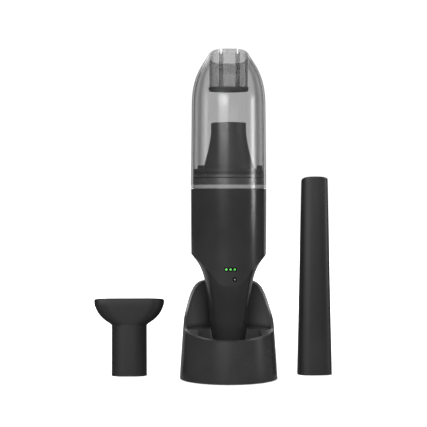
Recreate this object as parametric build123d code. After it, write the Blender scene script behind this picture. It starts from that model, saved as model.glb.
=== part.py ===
from build123d import *
import math
import os

os.makedirs("parts", exist_ok=True)

# Handheld vacuum standing nose-up in its round charging cradle, with its two push-in tools.
# Millimetres.  Origin on the table at the centre of the cradle's pad, +Z up, -Y is the side
# with the charge lights, +X to the right of someone looking at the lights.

# ---- driving dimensions ----
WALL = 2.0  # hand unit shells
CUP_WALL = 1.8
BARREL_R_TOP = 36.5  # at the cup seam
BARREL_R_LOW = 36.1  # at the waist
Z_CAP = 21.3  # underside of the handle
Z_GRIP = 25.0  # lower edge of the shells
Z_SCOOP = 131.0  # the side scoops run out above this height
Z_BODY = 184.2  # top of the shells
Z_CUP = 184.6  # lower edge of the cup
Z_COLLAR = 197.8  # top of the collar that plugs into the cup
Z_TIP = 318.7  # front lip of the nose
MOUTH_SLOPE = 0.44  # the mouth is a slanted cut, lower at the back
MOUTH_LIP_Y = -13.5
DUCT_A = 17.6  # inlet duct, half-width and half-depth of its bore
DUCT_B = 12.4
DUCT_WALL = 1.0
DUCT_N = 2.9  # exponent of the rounded-rectangle sections
Z_DUCT = 282.6  # lower end of the duct
Z_LEDS = 107.9
LED_PITCH = 4.0
LED_R = 1.05
Z_INDICATOR = 98.4
CELL_R = 9.2
CELL_LENGTH = 65.0
CELL_Z = 30.0
CELL_YS = (-10.0, 8.7)
Z_FAN = 163.0
IMPELLER_R = 22.0
SHAFT_R = 1.5
SHAFT_CLEARANCE = 0.05
DOCK_R = 47.4
DOCK_FLOOR = 48.4
DOCK_RECESS = 30.0
SOCKET_Z = 20.3
SOCKET_GAP = 0.6
PIN_X = 5.0
NOZZLE_X = -96.9
NOZZLE_H = 77.1
CREVICE_X = 87.0
CREVICE_H = 196.4
TOOLS_Y = 27.0  # the two tools stand a little behind the cradle's axis
NECK_A = 17.35
NECK_B = 12.1
TOOL_WALL = 1.8


# ---- helpers ----
def save(shape, node):
    shape.label = node
    export_step(shape, f"parts/{node}.step")


def section(z, a, b_front, b_back, n):
    """A superellipse face at height z: half-width a, half-depths towards -Y and +Y."""
    points = []
    for k in range(24):
        t = 2 * math.pi * (k + 0.5) / 24
        c = math.cos(t)
        s = math.sin(t)
        b = b_front if s < 0 else b_back
        x = a * math.copysign(abs(c) ** (2 / n), c)
        y = b * math.copysign(abs(s) ** (2 / n), s)
        points.append(Vector(x, y, z))
    even = [k / 24 for k in range(25)]
    return Face(Wire([Edge.make_spline(points, periodic=True, parameters=even)]))


def column(rows, inset=0.0, low=None, high=None):
    """Loft through (z, a, b_front, b_back, n) rows, drawn in by inset, trimmed to low..high."""
    faces = [section(z, a - inset, bf - inset, bb - inset, n) for z, a, bf, bb, n in rows]
    body = loft(faces)
    if low is not None:
        body = body & slab(low, high)
    return body


def slab(low, high, size=400):
    return Pos(0, 0, (low + high) / 2) * Box(size, size, high - low)


def block(x0, x1, y0, y1, z0, z1):
    middle = Pos((x0 + x1) / 2, (y0 + y1) / 2, (z0 + z1) / 2)
    return middle * Box(x1 - x0, y1 - y0, z1 - z0)


def rod(r, low, high, x=0.0, y=0.0):
    return Pos(x, y, (low + high) / 2) * Cylinder(r, high - low)


def rod_y(r, x, z, y0, y1):
    return Pos(x, (y0 + y1) / 2, z) * Rot(90, 0, 0) * Cylinder(r, y1 - y0)


def rod_x(r, y, z, x0, x1):
    return Pos((x0 + x1) / 2, y, z) * Rot(0, 90, 0) * Cylinder(r, x1 - x0)


def ring(r_out, r_in, low, high):
    return rod(r_out, low, high) - rod(r_in, low - 1, high + 1)


def turned(points):
    """Revolve a closed (radius, z) outline about the Z axis."""
    outline = make_face(Polyline(*[(r, 0, z) for r, z in points], close=True))
    return revolve(outline, Axis.Z)


def cone(r_low, z_low, r_high, z_high):
    return Pos(0, 0, (z_low + z_high) / 2) * Cone(r_low, r_high, z_high - z_low)


def tube_section(a, b, low, high, n=DUCT_N):
    return extrude(section(low, a, b, b, n), high - low)


def around(shape, count, start=0.0):
    return [Rot(0, 0, start + 360 * k / count) * shape for k in range(count)]


def join(shapes):
    total = shapes[0]
    for shape in shapes[1:]:
        total = total + shape
    return total


# ---- outer form of the hand unit ----
GRIP = [
    (Z_CAP, 13.4, 20.8, 19.9, 2.5),
    (41.3, 15.8, 23.2, 21.0, 2.5),
    (58.0, 17.9, 26.8, 21.4, 2.5),
    (74.0, 19.9, 31.0, 21.9, 2.5),
    (88.0, 22.1, 35.2, 23.0, 2.5),
    (97.7, 23.9, 37.8, 25.2, 2.5),
    (105.5, 26.4, 40.0, 28.6, 2.5),
    (111.3, 29.3, 42.0, 32.2, 2.5),
    (117.1, 33.3, 44.0, 36.4, 2.5),
    (122.5, 37.6, 46.0, 40.6, 2.5),
    (133.0, 47.0, 51.0, 50.0, 2.5),
]


def hand_form(inset, low, high):
    """The outer form, drawn in by inset: a drafted barrel whose lower end is scooped."""
    barrel = cone(BARREL_R_LOW - inset, low, BARREL_R_TOP - inset, Z_BODY)
    scooped = (barrel & slab(low, Z_SCOOP)) & column(GRIP, inset, low, Z_SCOOP)
    if high <= Z_SCOOP:
        return scooped & slab(low, high)
    return scooped + (barrel & slab(Z_SCOOP, high))


outer = hand_form(0.0, Z_GRIP, Z_BODY)
inner = hand_form(WALL, Z_GRIP, Z_BODY)
shell = outer - inner

# screw towers between the two shells
TOWERS = [(x, z) for x in (-30.2, 30.2) for z in (127.0, 150.0)]
towers = join([rod_y(3.6, x, z, -16, 14) for x, z in TOWERS]) & outer
shell = shell + towers

# charge lights and their holes
LED_XS = (-LED_PITCH, 0.0, LED_PITCH)
lights = [rod_y(LED_R, x, Z_LEDS, -40, -30.6) for x in LED_XS]
dot = rod_y(0.9, LED_PITCH, Z_INDICATOR, -40, -30.6)
save((join(lights) & outer), "led_lenses")
save(dot & outer, "indicator_lens")

# screws from the back
screw_holes = [rod_y(1.25, x, z, -12, 14) + rod_y(2.6, x, z, 8.4, 30) for x, z in TOWERS]
screws = [rod_y(1.25, x, z, -10, 8.4) + rod_y(2.4, x, z, 8.4, 10) for x, z in TOWERS]
screws = [s - block(x - 2, x + 2, 9.2, 11, z - 0.3, z + 0.3) for s, (x, z) in zip(screws, TOWERS)]
save(join(screws), "body_screws")

# windows for the two push buttons, in the back
POWER_Z = 106.5
RELEASE_Z = 173.5
power_outline = Plane.XZ * Pos(0, POWER_Z) * SlotOverall(17, 10.4, rotation=90)
power_window = extrude(power_outline, -60)
power_stem = extrude(Plane.XZ * Pos(0, POWER_Z) * SlotOverall(16.2, 9.6, rotation=90), -60)
release_window = extrude(Plane.XZ * Pos(0, RELEASE_Z) * RectangleRounded(15.6, 9.6, 3.2), -60)
release_stem = extrude(Plane.XZ * Pos(0, RELEASE_Z) * RectangleRounded(14.8, 8.8, 2.8), -60)

# exhaust slots, in rows across the back of the barrel
slots = []
for row in range(4):
    for turn in range(-3, 4):
        slot = Pos(0, 35, 139.5 + 4.2 * row) * Box(7.0, 10, 1.9)
        slots.append(Rot(0, 0, 15 * turn) * slot)
slots = join(slots)

front = shell & block(-60, 60, -60, 0, 0, 200)
front = front - join(lights) - dot - join(screw_holes)
save(front, "front_shell")

rear = shell & block(-60, 60, 0, 60, 0, 200)
rear = rear - join(screw_holes) - power_window - release_window - slots
save(rear, "rear_shell")

# ---- buttons ----
proud = hand_form(-1.0, Z_GRIP, Z_SCOOP)
power = power_stem & proud & block(-9, 9, 21, 60, 90, 125)
power = power + block(-6.4, 6.4, 19.6, 21.2, POWER_Z - 7.5, POWER_Z + 7.5)
save(power, "power_button")
save(
    block(-4, 4, 11, 16, POWER_Z - 4, POWER_Z + 4) + rod_y(1.6, 0, POWER_Z, 16, 17.6),
    "power_switch",
)

release = release_stem & (rod(37.3, 160, 184) - rod(32.2, 159, 185)) & block(-9, 9, 20, 60, 160, 184)
release = release - join([block(-4, 4, 36.8, 40, z, z + 0.8) for z in (171.5, 173.1, 174.7)])
save(release, "release_button")
latch = block(-3.2, 3.2, 29.4, 31.0, 170, 189.6)
latch = latch + block(-3.2, 3.2, 31.0, 32.0, 187.4, 189.6) + block(-3.2, 3.2, 30.9, 32.7, 170, 176)
save(latch - release, "release_latch")

# ---- collar that plugs into the cup ----
collar = turned(
    [
        (30.6, 178.5),
        (34.4, 178.5),
        (34.4, Z_BODY),
        (34.2, Z_BODY + 0.1),
        (34.2, Z_COLLAR),
        (30.6, Z_COLLAR),
    ]
)
grille = ring(30.8, 27.6, 190.4, 192.4) + ring(20.0, 17.6, 190.4, 192.4) + rod(7.6, 190.4, 192.4)
grille = grille + join(around(block(6, 30, -1.1, 1.1, 190.4, 192.4), 8, 22.5))
collar = collar + grille
collar = collar - ring(40, 32.9, 194.3, 195.7)
collar = collar - block(-4.2, 4.2, 27.5, 36, 178, 190.2)
collar = collar - block(-24.4, -22.6, -36, -20, 196.4, 198.5)
save(collar, "cup_collar")
groove_ring = Pos(0, 0, 195.0) * Torus(33.6, 0.65)
save(groove_ring, "cup_seal_ring")

# ---- handle end: cap and charging pads ----
cap = column(GRIP, 0.0, Z_CAP, Z_GRIP)
cap = cap + (column(GRIP, WALL, Z_GRIP - 0.5, Z_GRIP + 3) - column(GRIP, WALL + 1.4, Z_GRIP, Z_GRIP + 4))
pads = [rod(2.6, Z_CAP, Z_CAP + 2.2, x) for x in (-PIN_X, PIN_X)]
save(cap - join(pads), "handle_end_cap")
save(join(pads), "charge_contacts")

# ---- battery pack ----
cells = []
for y in CELL_YS:
    cell = rod(CELL_R, CELL_Z, CELL_Z + CELL_LENGTH, 0, y) + rod(3, CELL_Z + CELL_LENGTH, 95.8, 0, y)
    cells.append(cell)
save(join(cells), "battery_cells")
strip = block(-3, 3, CELL_YS[0] - 5, CELL_YS[1] + 5, 95.8, 96.1)
strips = strip + block(-3, 3, CELL_YS[1] - 5, CELL_YS[1] + 5, 29.6, 29.9)
strips = strips + block(-3, 3, CELL_YS[0] - 5, CELL_YS[0] + 5, 29.6, 29.9)
save(strips, "nickel_strips")
carrier = extrude(section(96.2, 21.3, 21.5, 22.4, 2.5), 2.0)
carrier = carrier + block(-5, 5, 8.4, 11, 98.2, POWER_Z + 5) - rod(2.2, 90, 110, -8, 0)
carrier = carrier + block(-2, 2, -28.6, -20, 96.2, 98.2)
save(carrier, "battery_bracket")
board = block(-8.5, 8.5, -30.2, -28.6, 90, 118) + block(-3.5, 3.5, -28.6, -26.2, 108, 115)
save(board, "control_pcb")

# ---- motor and fan, turning about the Z axis ----
can = ring(17.0, 15.8, 128, 160) + (rod(17, 158.6, 160) - rod(4.5, 150, 170))
save(can, "motor_can")
save(rod(17, 124.8, 128) - rod(4.5, 120, 130), "motor_end_cap")
bearing = ring(4.5, SHAFT_R + SHAFT_CLEARANCE, 125, 128)
save(bearing + (Pos(0, 0, 32) * bearing), "motor_bearings")
magnet = ring(15.8, 13.6, 131, 155) & block(3, 20, -20, 20, 120, 160)
save(magnet + (Rot(0, 0, 180) * magnet), "motor_magnets")
save(rod(SHAFT_R, 123.8, 177), "rotor_shaft")
core = rod(12.6, 134, 152) - rod(SHAFT_R, 130, 160)
core = core - join(around(block(5.2, 14, -1.0, 1.0, 130, 160), 7))
save(core, "armature")

hub = turned([(SHAFT_R, 165), (IMPELLER_R, 165), (IMPELLER_R, 166.2), (8, 167.2), (4.2, 175), (SHAFT_R, 175)])
blades = []
for k in range(9):
    arc = Pos(0, 16, 0) * (ring(16.5, 15.3, 165.6, 174) & block(0, 20, -17, 0.5, 165, 175))
    wide = turned([(4.6, 166.0), (IMPELLER_R - 0.3, 166.0), (IMPELLER_R - 0.3, 170.0), (10, 173.4), (4.6, 173.4)])
    blades.append(Rot(0, 0, 40 * k) * (arc & wide))
save(hub + join(blades), "impeller")

shroud = turned(
    [
        (26.8, Z_FAN),
        (25.2, Z_FAN),
        (25.2, 170.4),
        (22.9, 172.0),
        (11.2, 175.2),
        (11.2, 178.0),
        (12.6, 178.0),
        (12.8, 176.6),
        (26.8, 172.6),
    ]
)
save(shroud, "fan_shroud")
plate = rod(29.0, 160, Z_FAN) - rod(5.2, 150, 170)
plate = plate - join(around(Pos(23.6, 0, 161) * Rot(0, 0, 35) * Box(2.6, 6.4, 10), 16))
save(plate, "diffuser")
cradle = ring(21.5, 19.0, 131, 135)
cradle = cradle + join(around(block(21, 34.1, -1.2, 1.2, 131, 135), 4, 45))
save(cradle, "motor_cradle")
save(ring(19.0, 17.0, 130, 136), "motor_damper")
foam = ring(34.0, 31.0, 137, 154.5) & block(-21, 21, 10, 40, 130, 160)
save(foam, "exhaust_foam")

# ---- dust cup, with the nose and its slanted mouth ----
SKIRT_R = 36.5  # at the seam, narrowing to NOSE_R where the nose begins
NOSE_R = 35.9
Z_NOSE = 258.0
NOSE = [
    (Z_NOSE, NOSE_R, NOSE_R, 2.0),
    (266.0, 35.8, 35.8, 2.0),
    (274.0, 35.4, 35.3, 2.02),
    (282.0, 34.4, 34.0, 2.08),
    (290.0, 32.4, 31.5, 2.25),
    (298.0, 29.2, 27.6, 2.5),
    (306.0, 24.6, 22.0, 2.8),
    (314.0, 19.7, 16.6, 3.0),
    (322.0, 15.2, 13.2, 3.1),
]


def skirt_radius(z):
    return SKIRT_R + (NOSE_R - SKIRT_R) * (z - Z_CUP) / (Z_NOSE - Z_CUP)


def cup_form(inset, rows=9):
    """Round skirt and nose in one skin, drawn in by inset; it starts below the seam."""
    skirt = [(z, skirt_radius(z), skirt_radius(z), 2.0) for z in range(178, 258, 8)]
    return loft([section(z, a - inset, b - inset, b - inset, n) for z, a, b, n in skirt + NOSE[:rows]])


angle = math.degrees(math.atan(MOUTH_SLOPE))
above_mouth = Pos(0, MOUTH_LIP_Y, Z_TIP) * Rot(-angle, 0, 0) * Pos(0, 40, 50) * Box(160, 260, 100)

nose = cup_form(0.0) - above_mouth - slab(170, Z_CUP)
hollow = cup_form(CUP_WALL, 8) - Pos(0, 0, -2.0) * above_mouth
duct_solid = tube_section(DUCT_A + DUCT_WALL, DUCT_B + DUCT_WALL, Z_DUCT, 325)
duct_bore = tube_section(DUCT_A, DUCT_B, Z_DUCT - 1, 330)

guides = []
notches = []
for x in (-7.9, 7.9):
    guides.append(block(x - 2.1, x + 2.1, -14.6, -12.7, Z_DUCT, 315.6))
    notches.append(block(x - 0.8, x + 0.8, -20, -8, 313.8, 330))
guides = join(guides)
notches = join(notches)

cup = nose - hollow - duct_solid - guides - notches
cup = cup - block(-3.6, 3.6, 33.9, 35.2, 186.8, 190.2)
save(cup, "dust_cup")

duct = (duct_solid & cup_form(0.0)) - above_mouth - duct_bore - guides - notches
FLAP_Y = 16.6
FLAP_Z = 280.9
ears = []
for side in (-1, 1):
    ear = block(8.4, 10.4, DUCT_B, 18.6, Z_DUCT, 286.5) + block(8.4, 10.4, 14.6, 18.6, 279.0, 286.5)
    ears.append(ear if side > 0 else mirror(ear, Plane.YZ))
ears = join(ears) - rod_x(0.9, FLAP_Y, FLAP_Z, -12, 12)
save(duct + (ears - duct_bore - duct_solid), "inlet_duct")
save(guides - notches, "duct_guides")
save(rod_x(0.9, FLAP_Y, FLAP_Z, -10.4, 10.4), "flap_pin")

seal = tube_section(DUCT_A + 1.7, DUCT_B + 1.7, 280.5, Z_DUCT)
seal = seal - tube_section(DUCT_A - 0.2, DUCT_B - 0.2, 280, 284)
save(seal, "duct_seal")

flap = tube_section(DUCT_A + 1.2, DUCT_B + 1.2, 279.0, 280.2)
flap = flap + block(-8.0, 8.0, 10, FLAP_Y, 279.0, 280.2) + rod_x(1.8, FLAP_Y, FLAP_Z, -8.0, 8.0)
flap = flap - rod_x(0.95, FLAP_Y, FLAP_Z, -9, 9)
save(flap, "inlet_flap")

# ---- filter, standing on the collar inside the cup ----
base = ring(34.0, 8.6, 201.0, 203.4)
tab = ring(34.0, 31.6, 203.4, 206.6) & block(0, 40, -4.4, 4.4, 203, 207)
base = base + join(around(tab, 3, -26.4)) + ring(24.6, 21.2, 203.4, 207.0)
save(base, "filter_base")
save(ring(34.1, 30.8, 198.1, 201.0), "filter_seal")


def flare(offset):
    """The filter's bell outline: straight neck, then a hollow curve out to the base."""
    return [
        (17.0 - offset, 239.0),
        (17.6 - offset, 234.0),
        (18.9 - offset, 226.5),
        (20.8 - offset, 218.0),
        (22.6 - offset, 211.5),
        (23.6 - offset, 207.0),
    ]


def bell(offset, top):
    curve = Spline(*[(r, 0, z) for r, z in flare(offset)])
    low_r = 23.6 - offset
    rest = Polyline(
        (low_r, 0, 207.0), (0, 0, 207.0), (0, 0, top), (17.0 - offset, 0, top), (17.0 - offset, 0, 239.0)
    )
    return revolve(make_face(curve + rest), Axis.Z)


shroud_cone = bell(0.0, 246.0) - bell(1.6, 250.0)
save(shroud_cone, "filter_shroud")
save(turned([(0, 246), (17.0, 246), (17.0, 247.6), (16.2, 248.3), (0, 248.3)]), "filter_cap")
star = []
for k in range(56):
    r = 14.6 if k % 2 else 10.6
    t = 2 * math.pi * k / 56
    star.append((r * math.cos(t), r * math.sin(t)))
pleats = extrude(Pos(0, 0, 203.4) * make_face(Polyline(*star, close=True)), 42.6) - rod(8.6, 200, 250)
save(pleats, "filter_pleats")

# ---- charging cradle ----
DOCK_PROFILE = [
    (DOCK_R, 0.6),
    (46.4, 18.0),
    (45.1, 37.4),
    (43.6, 57.0),
    (42.3, 68.0),
    (41.0, 80.0),
    (39.4, 90.0),
    (36.6, 98.0),
]
edge = Spline(*[(r, 0, z) for r, z in DOCK_PROFILE])
rest = Polyline((36.6, 0, 98.0), (33.0, 0, 101.0), (0, 0, 101.0), (0, 0, 0.6), (DOCK_R, 0, 0.6))
dock_form = revolve(make_face(edge + rest), Axis.Z)

# side view of the rim: low shelf in front, sweeping up to the hood behind
RIM = [
    (-60.0, 38.6),
    (-44.0, 40.6),
    (-34.0, 43.0),
    (-18.0, 46.6),
    (-6.0, 51.0),
    (1.0, 57.0),
    (8.7, 65.8),
    (14.2, 75.1),
    (19.6, 84.5),
    (25.2, 91.4),
    (31.0, 94.2),
    (40.0, 94.8),
]
rim_line = Spline(*[(0, y, z) for y, z in RIM])
rim_rest = Polyline((0, 40.0, 94.8), (0, 70, 94.8), (0, 70, 140), (0, -60, 140), (0, -60, 38.6))
rim_cut = extrude(make_face(rim_line + rim_rest), 60, both=True)

BOWL = [(41.6, DOCK_FLOOR), (40.7, 62.0), (39.3, 74.0), (37.6, 86.0), (35.4, 95.0), (32.0, 104.0)]
bowl_edge = Spline(*[(r, 0, z) for r, z in BOWL])
bowl_rest = Polyline((32.0, 0, 104.0), (0, 0, 104.0), (0, 0, DOCK_FLOOR), (41.6, 0, DOCK_FLOOR))
bowl = revolve(make_face(bowl_edge + bowl_rest), Axis.Z)

recess = rod(40.6, DOCK_RECESS, 110) & block(-30, 30, -60, -6, 0, 120)
liner_out = column(GRIP, -SOCKET_GAP - 1.6, None) & slab(Z_CAP + 0.1, DOCK_FLOOR)
liner_out = liner_out + extrude(section(SOCKET_Z - 1.6, 15.6, 23.0, 22.1, 2.5), 3.0)
liner_in = column(GRIP, -SOCKET_GAP, None) & slab(Z_CAP + 0.1, DOCK_FLOOR + 4)
liner_in = liner_in + extrude(section(SOCKET_Z, 14.0, 21.4, 20.5, 2.5), 1.4)

socket_block = column(GRIP, -SOCKET_GAP - 4.2, None) & slab(Z_CAP + 0.1, 60)
socket_block = socket_block + extrude(section(SOCKET_Z - 4.2, 18.2, 25.6, 24.7, 2.5), 6.0)
recess_block = rod(43.2, DOCK_RECESS - 2.4, 60) & block(-32.4, 32.4, -60, -3.6, 0, 120)

cavity_edge = Spline(*[(r - 3.0, 0, z) for r, z in DOCK_PROFILE[:4]])
cavity_rest = Polyline((40.6, 0, 57.0), (0, 0, 57.0), (0, 0, 0.6), (DOCK_R - 3.0, 0, 0.6))
cavity = revolve(make_face(cavity_edge + cavity_rest), Axis.Z) & slab(0, DOCK_FLOOR - 2.4)
cavity = cavity - socket_block - recess_block - Pos(0, 0, -2.6) * rim_cut

PIN_XY = [(-PIN_X, 0.0), (PIN_X, 0.0)]
DOCK_SCREWS = [(x, y) for x in (-27, 27) for y in (-27, 27)]
dock_towers = join([rod(3.2, 3.2, 28.5 if y < 0 else 46.8, x, y) for x, y in DOCK_SCREWS])
dock_screw_holes = join([rod(1.25, 0, 14, x, y) for x, y in DOCK_SCREWS])
body = dock_form - rim_cut - bowl - recess - cavity - liner_out + dock_towers
body = body - dock_screw_holes - rod_y(5.3, 0, 11.5, 30, 60)
body = body - join([rod(3.2, 0, 24, x, y) for x, y in PIN_XY])
save(body, "dock_shell")

liner = liner_out - liner_in - recess
liner = liner - join([rod(3.2, 0, 24, x, y) for x, y in PIN_XY])
save(liner, "socket_liner")

base_plate = rod(44.0, 1.0, 3.2) - dock_screw_holes
base_plate = base_plate - join([rod(2.6, 0, 2.4, x, y) for x, y in DOCK_SCREWS])
base_plate = base_plate + join([rod(2.0, 3.0, 5.2, x, y) for x in (-14, 14) for y in (-11, 11)])
save(base_plate, "dock_base_plate")
save(rod(34.0, 0, 1.0), "dock_pad")
save(join([rod(1.2, 2.0, 12, x, y) + rod(2.4, 1.2, 2.4, x, y) for x, y in DOCK_SCREWS]), "dock_screws")

save(block(-17, 17, -14, 14, 5.2, 6.8) + block(6, 13, -11, -5, 6.8, 10), "dock_pcb")
jack = rod_y(5.2, 0, 11.5, 33, 45.9) - rod_y(2.9, 0, 11.5, 36, 50) + rod_y(0.9, 0, 11.5, 35, 45)
save(jack, "dock_jack")

barrels = []
springs = []
pins = []
for x, y in PIN_XY:
    barrel = ring(3.2, 1.3, 8.6, 20.3) - rod(2.3, 9.6, 18.9)
    barrels.append(Pos(x, y, 0) * barrel)
    pins.append(rod(1.24, 13.6, 21.0, x, y) + rod(2.1, 16.6, 17.6, x, y))
    path = Helix(pitch=1.28, height=6.4, radius=1.75, center=(x, y, 9.9))
    wire = sweep(Plane(origin=path @ 0, z_dir=path % 0) * Circle(0.2), path=path)
    springs.append(wire)
save(join(barrels) + block(-6, 6, -2, 2, 6.8, 8.6), "pin_block")
save(join(pins), "charge_pins")
save(join(springs), "pin_springs")

# ---- wide nozzle, standing on its neck ----
NOZZLE = [
    (49.2, NECK_A, NECK_B, DUCT_N),
    (51.0, 18.7, 12.1, 3.0),
    (53.0, 21.8, 12.2, 3.2),
    (56.8, 26.5, 12.3, 3.6),
    (60.7, 29.9, 12.4, 4.0),
    (64.6, 32.2, 12.5, 4.4),
    (68.5, 33.8, 12.6, 4.8),
    (72.7, 34.6, 12.6, 5.0),
    (79.2, 34.9, 12.6, 5.0),
]


def nozzle_form(inset):
    head = loft([section(z, a - inset, b - inset, b - inset, n) for z, a, b, n in NOZZLE])
    return tube_section(NECK_A - inset, NECK_B - inset, 0, 49.2) + head


def slanted(shape, z_front, y_front, slope):
    """Cut a top that falls towards the back from a front lip."""
    tilt = math.degrees(math.atan(slope))
    above = Pos(0, y_front, z_front) * Rot(-tilt, 0, 0) * Pos(0, 20, 30) * Box(120, 120, 60)
    return shape - above


outline = Plane.XZ * Pos(0, NOZZLE_H - 50) * RectangleRounded(69.6, 100, 4.5)
rounded = nozzle_form(0.0) & extrude(outline, 30, both=True)
nozzle = slanted(rounded, NOZZLE_H, -12.6, 0.31) - nozzle_form(TOOL_WALL)
save(Pos(NOZZLE_X, TOOLS_Y, 0) * nozzle, "wide_nozzle")


# ---- crevice tool, standing on its wide end ----
def crevice_form(inset):
    foot = section(0, 17.15 - inset, 12.0 - inset, 12.0 - inset, DUCT_N)
    tip = section(200, 13.0 - inset, 7.8 - inset, 7.8 - inset, 2.7)
    return loft([foot, tip])


crevice = slanted(crevice_form(0.0), CREVICE_H, -7.8, 0.54) - crevice_form(TOOL_WALL)
save(Pos(CREVICE_X, TOOLS_Y, 0) * crevice, "crevice_tool")
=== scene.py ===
import bpy
import math
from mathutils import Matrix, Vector


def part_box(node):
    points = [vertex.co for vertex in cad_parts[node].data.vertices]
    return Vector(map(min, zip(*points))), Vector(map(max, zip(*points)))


# All lengths are in metres. The cradle's axis is the Z axis, and the camera stands at -Y.

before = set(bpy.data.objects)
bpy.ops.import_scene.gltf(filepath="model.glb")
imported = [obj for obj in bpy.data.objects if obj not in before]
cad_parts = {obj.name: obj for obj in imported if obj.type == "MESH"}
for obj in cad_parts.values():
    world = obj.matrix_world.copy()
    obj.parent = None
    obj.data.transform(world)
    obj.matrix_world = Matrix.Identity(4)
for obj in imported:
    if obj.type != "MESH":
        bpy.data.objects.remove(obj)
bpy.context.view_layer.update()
scene = bpy.context.scene
scene.view_settings.view_transform = "Standard"


# ---------------------------------------------------------------- camera
CAM_DISTANCE = 1.273
CAM_HEIGHT = 0.183
CAM_AZIMUTH = math.radians(-3.0)  # a little towards -X
CAM_PAN = math.radians(0.66)  # puts the cradle's axis right of the picture's middle
CAM_LENS_MM = 110.4
CAM_SENSOR_MM = 36.0
CAM_SHIFT_Y = -0.055  # the camera is level, and its picture reaches further down than up
CAM_CLIP_START = 0.05


def around(azimuth, distance, height):
    """The point at an azimuth from the -Y direction, positive towards +X."""
    return Vector((distance * math.sin(azimuth), -distance * math.cos(azimuth), height))


cam_data = bpy.data.cameras.new("camera")
cam_data.lens = CAM_LENS_MM
cam_data.sensor_width = CAM_SENSOR_MM
cam_data.shift_y = CAM_SHIFT_Y
cam_data.clip_start = CAM_CLIP_START
camera = bpy.data.objects.new("camera", cam_data)
camera.location = around(CAM_AZIMUTH, CAM_DISTANCE, CAM_HEIGHT)
camera.rotation_euler = (math.pi / 2, 0, CAM_AZIMUTH + CAM_PAN)
scene.collection.objects.link(camera)
scene.camera = camera


# ---------------------------------------------------------------- light
def softbox(name, azimuth, distance, height, size, watts, aim_height, gives="both"):
    """A rectangular light aimed at a point on the Z axis; its azimuth is in degrees.

    gives: "both", "sheen" for a light seen only in reflections, or "matte" for one seen in none.
    """
    data = bpy.data.lights.new(name, "AREA")
    data.shape = "RECTANGLE"
    data.size, data.size_y = size
    data.energy = watts
    light = bpy.data.objects.new(name, data)
    light.location = around(math.radians(azimuth), distance, height)
    towards = Vector((0, 0, aim_height)) - light.location
    light.rotation_euler = towards.to_track_quat("-Z", "Y").to_euler()
    light.visible_diffuse = gives != "sheen"
    light.visible_glossy = gives != "matte"
    scene.collection.objects.link(light)


# soft light from above
softbox("overhead", 0, 0.3, 2.4, size=(3.2, 3.2), watts=50, aim_height=0)
softbox("key_high", -4, 1.9, 1.9, size=(2.0, 1.2), watts=46, aim_height=0.1)
# the bright streak down the right of the cup and barrel
softbox("strip_right", 78, 1.2, 0.30, size=(0.26, 0.32), watts=13, aim_height=0.28, gives="sheen")
# the wider glow left of the cup's middle, brightest under the duct
softbox("front_left", -19, 1.7, 0.57, size=(0.90, 0.26), watts=39, aim_height=0.3, gives="sheen")
softbox("front_left_low", -19, 1.7, 0.42, size=(0.82, 0.22), watts=10, aim_height=0.25, gives="sheen")
# soft light from the front, the thin line down the right edge, and light from behind
softbox("front_fill", -6, 2.6, 0.55, size=(2.6, 0.9), watts=34, aim_height=0.1, gives="matte")
softbox("rim_right", 142, 1.5, 0.45, size=(0.6, 1.3), watts=2.2, aim_height=0.2, gives="sheen")
softbox("back_high", 200, 1.9, 1.7, size=(2.0, 1.2), watts=45, aim_height=0.1)


def studio_backdrop(seen, lights):
    """A white surround that the camera sees brighter than it lights the object."""
    world = bpy.data.worlds.new("studio")
    world.use_nodes = True
    scene.world = world
    world_nodes = world.node_tree.nodes
    world_links = world.node_tree.links
    world_nodes.clear()
    output = world_nodes.new("ShaderNodeOutputWorld")
    choose = world_nodes.new("ShaderNodeMixShader")
    path = world_nodes.new("ShaderNodeLightPath")
    world_links.new(path.outputs["Is Camera Ray"], choose.inputs["Fac"])
    for slot, strength in ((1, lights), (2, seen)):
        background = world_nodes.new("ShaderNodeBackground")
        background.inputs["Color"].default_value = (1, 1, 1, 1)
        background.inputs["Strength"].default_value = strength
        world_links.new(background.outputs[0], choose.inputs[slot])
    world_links.new(choose.outputs[0], output.inputs["Surface"])


studio_backdrop(seen=1.05, lights=0.13)


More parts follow.
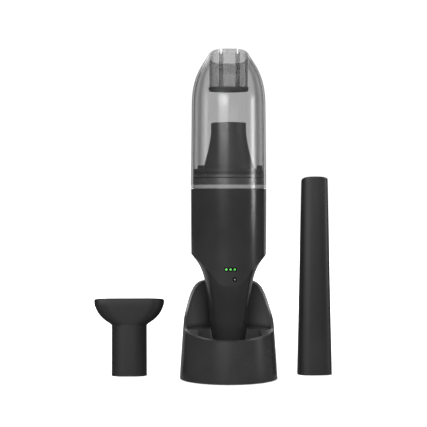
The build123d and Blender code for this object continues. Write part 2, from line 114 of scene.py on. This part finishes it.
# ---------------------------------------------------------------- material kit
class Mat:
    """A Principled material, with short calls for the nodes that feed it."""

    def __init__(self, name):
        self.m = bpy.data.materials.new(name)
        self.m.use_nodes = True
        self.nodes = self.m.node_tree.nodes
        self.links = self.m.node_tree.links
        self.bsdf = self.nodes["Principled BSDF"]
        texture_coords = self.nodes.new("ShaderNodeTexCoord").outputs
        self.coord = texture_coords["Object"]
        self.normal = texture_coords["Normal"]

    def set(self, **values):
        """Set shader sockets; an underscore stands for a space in a socket's name."""
        for key, value in values.items():
            self.bsdf.inputs[key.replace("_", " ")].default_value = value
        return self

    def feed(self, socket, source):
        self.links.new(source, self.bsdf.inputs[socket])

    def noise(self, scale, detail=3.0, rough=0.5, stretch=None):
        tex = self.nodes.new("ShaderNodeTexNoise")
        tex.inputs["Scale"].default_value = scale
        tex.inputs["Detail"].default_value = detail
        tex.inputs["Roughness"].default_value = rough
        source = self.coord
        if stretch:
            mapping = self.nodes.new("ShaderNodeMapping")
            mapping.inputs["Scale"].default_value = stretch
            self.links.new(self.coord, mapping.inputs["Vector"])
            source = mapping.outputs["Vector"]
        self.links.new(source, tex.inputs["Vector"])
        return tex.outputs["Fac"]

    def ramp(self, fac, low, high, start=0.3, end=0.7):
        """A value that goes from low to high as fac goes from start to end, and stops there."""
        node = self.nodes.new("ShaderNodeMapRange")
        node.inputs["From Min"].default_value = start
        node.inputs["From Max"].default_value = end
        node.inputs["To Min"].default_value = low
        node.inputs["To Max"].default_value = high
        self.links.new(fac, node.inputs["Value"])
        return node.outputs["Result"]

    def stops(self, fac, places_and_colours):
        """A colour ramp through any number of (place, (r, g, b)) stops."""
        node = self.nodes.new("ShaderNodeValToRGB")
        elements = node.color_ramp.elements
        for place, _ in places_and_colours[1:-1]:
            elements.new(place)
        for element, (place, colour) in zip(elements, places_and_colours):
            element.position = place
            element.color = (*colour, 1)
        self.links.new(fac, node.inputs["Fac"])
        return node.outputs["Color"]

    def clouded(self, fac, colour, dark, light):
        """The colour varied by the noise between its dark and light multiples."""
        darker = tuple(c * dark for c in colour)
        lighter = tuple(c * light for c in colour)
        return self.stops(fac, ((0.35, darker), (0.65, lighter)))

    def bump(self, height, strength, distance=0.0002):
        node = self.nodes.new("ShaderNodeBump")
        node.inputs["Strength"].default_value = strength
        node.inputs["Distance"].default_value = distance
        self.links.new(height, node.inputs["Height"])
        self.feed("Normal", node.outputs["Normal"])

    def split(self, source):
        node = self.nodes.new("ShaderNodeSeparateXYZ")
        self.links.new(source, node.inputs[0])
        return node.outputs

    def vector(self, operation, source, constant=None, other=None):
        node = self.nodes.new("ShaderNodeVectorMath")
        node.operation = operation
        self.links.new(source, node.inputs[0])
        if other:
            self.links.new(other, node.inputs[1])
        elif constant:
            node.inputs[1].default_value = constant
        return node.outputs

    def math(self, operation, source, other=None):
        node = self.nodes.new("ShaderNodeMath")
        node.operation = operation
        self.links.new(source, node.inputs[0])
        if other:
            self.links.new(other, node.inputs[1])
        return node.outputs["Value"]

    def overlay(self, socket, factor, colour):
        """Where factor is 1, the colour takes the place of what already feeds the socket."""
        mix = self.nodes.new("ShaderNodeMix")
        mix.data_type = "RGBA"
        self.links.new(factor, mix.inputs["Factor"])
        self.links.new(self.bsdf.inputs[socket].links[0].from_socket, mix.inputs["A"])
        mix.inputs["B"].default_value = (*colour, 1)
        self.feed(socket, mix.outputs["Result"])


def grey(value, blue=0.0):
    """A neutral tone; blue is how much stronger its blue is, as a fraction."""
    return (value, value, value * (1 + blue))


# ---------------------------------------------------------------- kinds of finish
def plastic(name, colour, rough, grain=0.25, spec=0.4, seed=1.0):
    """Moulded plastic: a fine spark-eroded grain, with patches a little glossier and lighter."""
    mat = Mat(name).set(Specular_IOR_Level=spec)
    cloud = mat.noise(scale=18 * seed, detail=4)
    mat.feed("Base Color", mat.clouded(cloud, colour, dark=0.88, light=1.12))
    mat.feed("Roughness", mat.ramp(cloud, rough - 0.04, rough + 0.05))
    mat.bump(mat.noise(scale=2600, detail=2, rough=0.6), strength=grain)
    return mat


def metal(name, colour, rough, stretch=(1, 1, 30)):
    """Drawn or stamped metal, its brightness and roughness streaked along one axis."""
    mat = Mat(name).set(Metallic=1.0)
    drawn = mat.noise(scale=160, detail=3, rough=0.6, stretch=stretch)
    mat.feed("Base Color", mat.clouded(drawn, colour, dark=0.8, light=1.0))
    mat.feed("Roughness", mat.ramp(drawn, rough - 0.08, rough + 0.08))
    mat.bump(drawn, strength=0.2)
    return mat


def rubber(name, colour):
    """Matt rubber with a coarse, clouded surface."""
    mat = Mat(name).set(Specular_IOR_Level=0.3)
    cloud = mat.noise(scale=60, detail=3)
    mat.feed("Base Color", mat.clouded(cloud, colour, dark=0.8, light=1.4))
    mat.feed("Roughness", mat.ramp(cloud, 0.6, 0.75))
    mat.bump(mat.noise(scale=900, detail=3, rough=0.7), strength=0.4)
    return mat


def clear(name, colour, opacity, rough=0.14, spec=0.25):
    """Transparent moulded plastic; opacity is a row of stops from face-on to edge-on."""
    mat = Mat(name).set(Specular_IOR_Level=spec)
    cloud = mat.noise(scale=14, detail=3)
    mat.feed("Base Color", mat.clouded(cloud, colour, dark=0.9, light=1.1))
    mat.feed("Roughness", mat.ramp(cloud, rough, rough + 0.05))
    edge_on = mat.nodes.new("ShaderNodeLayerWeight")
    edge_on.inputs["Blend"].default_value = 0.5
    tones = tuple((place, grey(value)) for place, value in opacity)
    mat.feed("Alpha", mat.stops(edge_on.outputs["Facing"], tones))
    mat.bump(mat.noise(scale=30, detail=2), strength=0.012, distance=0.0005)
    return mat


def glowing(name, colour, strength):
    """A small lit lens, its light a little uneven."""
    mat = Mat(name).set(Roughness=0.3, Emission_Strength=strength)
    dots = mat.noise(scale=500, detail=2)
    for socket in ("Base Color", "Emission Color"):
        mat.feed(socket, mat.clouded(dots, colour, dark=0.75, light=1.0))
    return mat


# ---------------------------------------------------------------- local detail
def rim_band_with_painted_glow(mat, top, colour, opacity):
    """Below a height the clear wall is a thick moulded rim: less see-through, and painted lighter as a
    painted highlight where the rim's edge catches the light.
    """
    edge = 0.0004
    below = mat.ramp(mat.split(mat.coord)["Z"], 0, 1, start=top, end=top - edge)
    mat.overlay("Base Color", below, colour)
    mat.overlay("Alpha", below, grey(opacity))


def dark_rings(mat, centres, radius):
    """A black ring round each (x, z) centre, on a surface that faces -Y."""
    edge = 0.0002
    flat = mat.vector("MULTIPLY", mat.coord, constant=(1, 0, 1))["Vector"]
    for x, z in centres:
        away = mat.vector("DISTANCE", flat, constant=(x, 0, z))["Value"]
        near = mat.ramp(away, 0, 1, start=radius + edge, end=radius)
        mat.overlay("Base Color", near, grey(0.001))


def painted_light_on_hood_inside(mat, foot, middle, wing, colour):
    """Painted light on the inner face of the cradle's hood: it is painted paler, more so from its
    middle out to its wings, away from the handle's shade.

    foot: the height where it starts. middle, wing: the distances from the YZ plane where it
    starts and where it is complete. A face is an inner one where its normal points at the axis.
    """
    place = mat.split(mat.coord)
    outward = mat.vector("MULTIPLY", mat.coord, constant=(1, 1, 0))["Vector"]
    inner = mat.vector("DOT_PRODUCT", outward, other=mat.normal)["Value"]
    aside = mat.ramp(mat.math("ABSOLUTE", place["X"]), 0, 1, start=middle, end=wing)
    above = mat.ramp(place["Z"], 0, 1, start=foot, end=foot + 0.006)
    inside = mat.ramp(inner, 0, 1, start=-0.002, end=-0.008)
    factor = mat.math("MULTIPLY", mat.math("MULTIPLY", aside, above), inside)
    mat.overlay("Base Color", factor, colour)


# ---------------------------------------------------------------- materials
rear_mat = plastic("body_plastic", grey(0.026, blue=0.02), rough=0.19, spec=0.085, grain=0.08)
front_mat = plastic("front_plastic", grey(0.027, blue=0.02), rough=0.19, spec=0.085, grain=0.08)
dock_mat = plastic("dock_plastic", grey(0.027, blue=0.02), rough=0.24, spec=0.11, grain=0.10, seed=1.3)
tool_mat = plastic("tool_plastic", grey(0.016, blue=0.02), rough=0.46, spec=0.11, seed=0.8)
inner_mat = plastic("inner_plastic", grey(0.035, blue=0.03), rough=0.5, seed=2.0)
filter_mat = plastic("filter_plastic", grey(0.045, blue=0.02), rough=0.5, spec=0.2, seed=1.6)
collar_mat = plastic("collar_plastic", grey(0.10, blue=0.01), rough=0.4, seed=1.2)
magnet_mat = plastic("ferrite", grey(0.05), rough=0.6)
wrap_mat = plastic("cell_wrap", (0.03, 0.16, 0.34), rough=0.3, seed=0.6)
board_mat = plastic("circuit_board", (0.01, 0.10, 0.04), rough=0.35, seed=3.0)
foam_mat = plastic("foam", grey(0.03), rough=0.9, grain=1.0)
paper_mat = plastic("filter_paper", (0.75, 0.74, 0.70), rough=0.9, grain=0.6)
rubber_mat = rubber("black_rubber", grey(0.018))
steel_mat = metal("zinc_steel", (0.6, 0.6, 0.61), rough=0.35)
nickel_mat = metal("nickel_strip", (0.68, 0.66, 0.6), rough=0.25)
gold_mat = metal("gold_contact", (0.9, 0.68, 0.28), rough=0.2, stretch=(1, 1, 1))
copper_mat = metal("copper_winding", (0.7, 0.33, 0.18), rough=0.35)

# Opacity of one skin, as (how edge-on it is, opacity). The cup's has a darker band a little
# inside its dark edge, where the moulded wall bends the light.
CUP_OPACITY = (
    (0.0, 0.24), (0.22, 0.24), (0.30, 0.26), (0.41, 0.41),
    (0.50, 0.28), (0.62, 0.30), (0.74, 0.46), (1.0, 0.92),
)
DUCT_OPACITY = ((0.0, 0.17), (0.3, 0.20), (0.6, 0.35), (1.0, 0.65))
GUIDE_OPACITY = ((0.0, 0.46), (0.3, 0.5), (0.6, 0.6), (1.0, 0.8))
cup_mat = clear("smoke_clear", grey(0.045, blue=0.04), CUP_OPACITY)
duct_mat = clear("duct_clear", grey(0.10, blue=0.03), DUCT_OPACITY)
guide_mat = clear("guide_clear", grey(0.05, blue=0.04), GUIDE_OPACITY)
led_mat = glowing("green_light", (0.07, 0.50, 0.06), strength=0.5)
dot_mat = glowing("white_lens", grey(0.16), strength=0.05)

CUP_RIM_TOP = 0.1883
# painted highlight: the cup's bottom rim is painted lighter, standing in for its edge catching the
# light
rim_band_with_painted_glow(cup_mat, CUP_RIM_TOP, grey(0.34, blue=0.015), opacity=0.45)

# the hood starts just above the cradle's front rim
# painted light: the hood's inner wings are painted paler, staying darkest next to the handle where its
# shade falls
painted_light_on_hood_inside(dock_mat, foot=0.046, middle=0.018, wing=0.040, colour=grey(0.17))

# three charge lights in a row across the middle, with the indicator below the right-hand one
LIGHT_RING_RADIUS = 0.0021
led_low, led_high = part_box("led_lenses")
dot_low, dot_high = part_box("indicator_lens")
led_z = (led_low[2] + led_high[2]) / 2
led_x = led_high[0] - (led_high[2] - led_low[2]) / 2
dot_spot = ((dot_low[0] + dot_high[0]) / 2, (dot_low[2] + dot_high[2]) / 2)
light_spots = [(-led_x, led_z), (0, led_z), (led_x, led_z), dot_spot]
dark_rings(front_mat, light_spots, LIGHT_RING_RADIUS)

MADE_OF = (
    (front_mat, ("front_shell",)),
    (rear_mat, ("rear_shell", "handle_end_cap")),
    (collar_mat, ("cup_collar",)),
    (dock_mat, ("dock_shell",)),
    (tool_mat, ("wide_nozzle", "crevice_tool")),
    (cup_mat, ("dust_cup",)),
    (duct_mat, ("inlet_duct",)),
    (guide_mat, ("duct_guides",)),
    (filter_mat, ("filter_base", "filter_shroud", "filter_cap")),
    (paper_mat, ("filter_pleats",)),
    (foam_mat, ("exhaust_foam",)),
    (rubber_mat, ("cup_seal_ring", "socket_liner", "dock_pad", "motor_damper")),
    (rubber_mat, ("duct_seal", "inlet_flap", "filter_seal")),
    (inner_mat, ("power_button", "release_button", "release_latch", "power_switch")),
    (inner_mat, ("dock_base_plate", "dock_jack", "pin_block", "battery_bracket")),
    (inner_mat, ("motor_end_cap", "motor_cradle", "diffuser", "fan_shroud", "impeller")),
    (steel_mat, ("dock_screws", "body_screws", "pin_springs", "flap_pin")),
    (steel_mat, ("motor_can", "motor_bearings", "rotor_shaft")),
    (gold_mat, ("charge_pins", "charge_contacts")),
    (nickel_mat, ("nickel_strips",)),
    (copper_mat, ("armature",)),
    (magnet_mat, ("motor_magnets",)),
    (wrap_mat, ("battery_cells",)),
    (board_mat, ("dock_pcb", "control_pcb")),
    (led_mat, ("led_lenses",)),
    (dot_mat, ("indicator_lens",)),
)
finish = {node: mat.m for mat, made in MADE_OF for node in made}
for node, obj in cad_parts.items():
    for slot in obj.material_slots:
        slot.material = finish[node]


# ---------------------------------------------------------------- floor
FLOOR_SIZE = 40.0


def seamless_paper(name):
    """White paper: lit near the object, and as white as the backdrop further away."""
    near, far = 0.15, 0.9
    near_glow, far_glow = 0.30, 1.0
    mat = Mat(name).set(Roughness=0.9, Specular_IOR_Level=0.05, Emission_Color=(1, 1, 1, 1))
    seen_by_camera = mat.nodes.new("ShaderNodeLightPath").outputs["Is Camera Ray"]
    reach = mat.vector("LENGTH", mat.coord)["Value"]
    glow = mat.ramp(reach, near_glow, far_glow, start=near, end=far)
    mat.feed("Emission Strength", mat.math("MULTIPLY", seen_by_camera, glow))
    # the paper bounces less light up into the object than it shows
    bounce = mat.nodes.new("ShaderNodeMix")
    bounce.data_type = "RGBA"
    bounce.inputs["A"].default_value = (0.3, 0.3, 0.3, 1)
    mat.links.new(seen_by_camera, bounce.inputs["Factor"])
    shown = mat.stops(mat.noise(scale=6, detail=3), ((0.35, grey(0.86)), (0.65, grey(0.89))))
    mat.links.new(shown, bounce.inputs["B"])
    mat.feed("Base Color", bounce.outputs["Result"])
    return mat


def square(name, size):
    half = size / 2
    corners = [(-half, -half, 0), (half, -half, 0), (half, half, 0), (-half, half, 0)]
    mesh = bpy.data.meshes.new(name)
    mesh.from_pydata(corners, [], [(0, 1, 2, 3)])
    obj = bpy.data.objects.new(name, mesh)
    scene.collection.objects.link(obj)
    return obj


floor = square("floor", FLOOR_SIZE)
floor.data.materials.append(seamless_paper("floor_paper").m)
